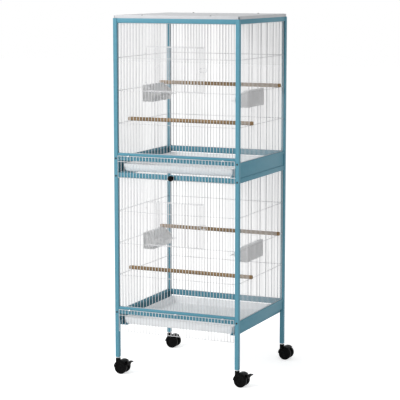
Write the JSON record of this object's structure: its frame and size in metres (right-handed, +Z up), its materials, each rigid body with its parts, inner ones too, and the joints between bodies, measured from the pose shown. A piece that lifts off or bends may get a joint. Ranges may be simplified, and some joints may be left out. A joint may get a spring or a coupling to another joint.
{
  "type": "rolling bird aviary",
  "caption": "Tall two-storey wire flight cage on a square-tube frame with front doors, hooded feeders, dowel perches, pull-out trays behind wire flaps, a sheet roof and casters.",
  "frame": {"origin": "middle of the bounding box in X and Y, on the floor under the casters", "axes": "+Z up, +X to the right and +Y to the back as seen facing the doors"},
  "size_m": [0.5708, 0.5294, 1.3855],
  "materials": {
    "blue_powder_coat": "satin powder coat",
    "white_wire": "semi-gloss coated wire",
    "roof_sheet": "satin coated sheet",
    "tray_plastic": "semi-gloss moulded plastic",
    "feeder_plastic": "translucent moulded plastic",
    "perch_wood": "bare turned wood",
    "black_plastic": "satin moulded plastic",
    "caster_tread": "satin nylon wheels",
    "zinc_steel": "zinc plated",
    "dark_screw": "blackened countersunk head"
  },
  "bodies": {
    "frame": {"caster_sockets": "black_plastic", "caster_stems": "zinc_steel", "flap_clips": "zinc_steel", "lower_back_panel": "white_wire", "lower_back_perch": "perch_wood", "lower_back_rail": "blue_powder_coat", "lower_front_panel": "white_wire", "lower_front_perch": "perch_wood", "lower_front_rail": "blue_powder_coat", "lower_left_panel": "white_wire", "lower_post_lb": "blue_powder_coat", "lower_post_lf": "blue_powder_coat", "lower_post_rb": "blue_powder_coat", "lower_post_rf": "blue_powder_coat", "lower_right_panel": "white_wire", "lower_skirts": "blue_powder_coat", "lower_top_rails": "blue_powder_coat", "lower_tray_guides": "blue_powder_coat", "post_caps": "black_plastic", "post_joiners": "black_plastic", "roof": "roof_sheet", "roof_screws": "dark_screw", "upper_back_panel": "white_wire", "upper_back_perch": "perch_wood", "upper_back_rail": "blue_powder_coat", "upper_front_panel": "white_wire", "upper_front_perch": "perch_wood", "upper_front_rail": "blue_powder_coat", "upper_left_panel": "white_wire", "upper_post_lb": "blue_powder_coat", "upper_post_lf": "blue_powder_coat", "upper_post_rb": "blue_powder_coat", "upper_post_rf": "blue_powder_coat", "upper_right_panel": "white_wire", "upper_skirts": "blue_powder_coat", "upper_top_rails": "blue_powder_coat", "upper_tray_guides": "blue_powder_coat"},
    "lower_door_leaf": {"lower_door": "white_wire", "lower_door_latch": "white_wire"},
    "lower_flap_leaf": {"lower_flap": "white_wire"},
    "lower_tray_pan": {"lower_tray": "tray_plastic"},
    "lower_left_feeder_box": {"lower_left_feeder": "feeder_plastic"},
    "lower_right_feeder_box": {"lower_right_feeder": "feeder_plastic"},
    "upper_door_leaf": {"upper_door": "white_wire", "upper_door_latch": "white_wire"},
    "upper_flap_leaf": {"upper_flap": "white_wire", "flap_knob": "black_plastic"},
    "upper_tray_pan": {"upper_tray": "tray_plastic"},
    "upper_left_feeder_box": {"upper_left_feeder": "feeder_plastic"},
    "upper_right_feeder_box": {"upper_right_feeder": "feeder_plastic"},
    "caster_lf": {"caster_hood_lf": "black_plastic"},
    "wheels_lf": {"caster_wheels_lf": "caster_tread"},
    "caster_rf": {"caster_hood_rf": "black_plastic"},
    "wheels_rf": {"caster_wheels_rf": "caster_tread"},
    "caster_lb": {"caster_hood_lb": "black_plastic"},
    "wheels_lb": {"caster_wheels_lb": "caster_tread"},
    "caster_rb": {"caster_hood_rb": "black_plastic"},
    "wheels_rb": {"caster_wheels_rb": "caster_tread"},
    "brake_lf": {"brake_lever_lf": "black_plastic"},
    "brake_rf": {"brake_lever_rf": "black_plastic"}
  },
  "joints": [
    {"name": "lower_door_hinge", "type": "hinge", "parent": "frame", "child": "lower_door_leaf", "pos_m": [-0.1527, -0.2292, 0.5967], "axis": [0, 0, -1], "range_deg": [0, 150]},
    {"name": "lower_tray_slide", "type": "slide", "parent": "frame", "child": "lower_tray_pan", "axis": [0, -1, 0], "range_m": [0, 0.16]},
    {"name": "lower_flap_hinge", "type": "hinge", "parent": "frame", "child": "lower_flap_leaf", "pos_m": [-0.02533, -0.2387, 0.2525], "axis": [-1, 0, 0], "range_deg": [0, 160]},
    {"name": "lower_left_feeder_lift", "type": "slide", "parent": "frame", "child": "lower_left_feeder_box", "axis": [0, 0, 1], "range_m": [0, 0.012]},
    {"name": "lower_right_feeder_lift", "type": "slide", "parent": "frame", "child": "lower_right_feeder_box", "axis": [0, 0, 1], "range_m": [0, 0.012]},
    {"name": "upper_door_hinge", "type": "hinge", "parent": "frame", "child": "upper_door_leaf", "pos_m": [-0.1527, -0.2292, 1.1837], "axis": [0, 0, -1], "range_deg": [0, 150]},
    {"name": "upper_tray_slide", "type": "slide", "parent": "frame", "child": "upper_tray_pan", "axis": [0, -1, 0], "range_m": [0, 0.16]},
    {"name": "upper_flap_hinge", "type": "hinge", "parent": "frame", "child": "upper_flap_leaf", "pos_m": [-0.02533, -0.2387, 0.8505], "axis": [-1, 0, 0], "range_deg": [0, 160]},
    {"name": "upper_left_feeder_lift", "type": "slide", "parent": "frame", "child": "upper_left_feeder_box", "axis": [0, 0, 1], "range_m": [0, 0.012]},
    {"name": "upper_right_feeder_lift", "type": "slide", "parent": "frame", "child": "upper_right_feeder_box", "axis": [0, 0, 1], "range_m": [0, 0.012]},
    {"name": "caster_swivel_lf", "type": "hinge", "parent": "frame", "child": "caster_lf", "pos_m": [-0.27633, -0.2292, 0.0625], "axis": [0, 0, 1], "continuous": true},
    {"name": "wheel_roll_lf", "type": "hinge", "parent": "caster_lf", "child": "wheels_lf", "pos_m": [-0.25733, -0.2292, 0.025], "axis": [0, 1, 0], "continuous": true},
    {"name": "brake_press_lf", "type": "hinge", "parent": "caster_lf", "child": "brake_lf", "pos_m": [-0.23358, -0.2292, 0.04493], "axis": [0, 1, 0], "range_deg": [0, 12]},
    {"name": "caster_swivel_rf", "type": "hinge", "parent": "frame", "child": "caster_rf", "pos_m": [0.22567, -0.2292, 0.0625], "axis": [0, 0, 1], "continuous": true},
    {"name": "wheel_roll_rf", "type": "hinge", "parent": "caster_rf", "child": "wheels_rf", "pos_m": [0.24467, -0.2292, 0.025], "axis": [0, 1, 0], "continuous": true},
    {"name": "brake_press_rf", "type": "hinge", "parent": "caster_rf", "child": "brake_rf", "pos_m": [0.26842, -0.2292, 0.04493], "axis": [0, 1, 0], "range_deg": [0, 12]},
    {"name": "caster_swivel_lb", "type": "hinge", "parent": "frame", "child": "caster_lb", "pos_m": [-0.27633, 0.2408, 0.0625], "axis": [0, 0, 1], "continuous": true},
    {"name": "wheel_roll_lb", "type": "hinge", "parent": "caster_lb", "child": "wheels_lb", "pos_m": [-0.25733, 0.2408, 0.025], "axis": [0, 1, 0], "continuous": true},
    {"name": "caster_swivel_rb", "type": "hinge", "parent": "frame", "child": "caster_rb", "pos_m": [0.22567, 0.2408, 0.0625], "axis": [0, 0, 1], "continuous": true},
    {"name": "wheel_roll_rb", "type": "hinge", "parent": "caster_rb", "child": "wheels_rb", "pos_m": [0.24467, 0.2408, 0.025], "axis": [0, 1, 0], "continuous": true}
  ],
  "couplings": [
    {"joint": "lower_flap_hinge", "follows": "lower_tray_slide", "rad_per_m": 17.45},
    {"joint": "upper_flap_hinge", "follows": "upper_tray_slide", "rad_per_m": 17.45}
  ]
}
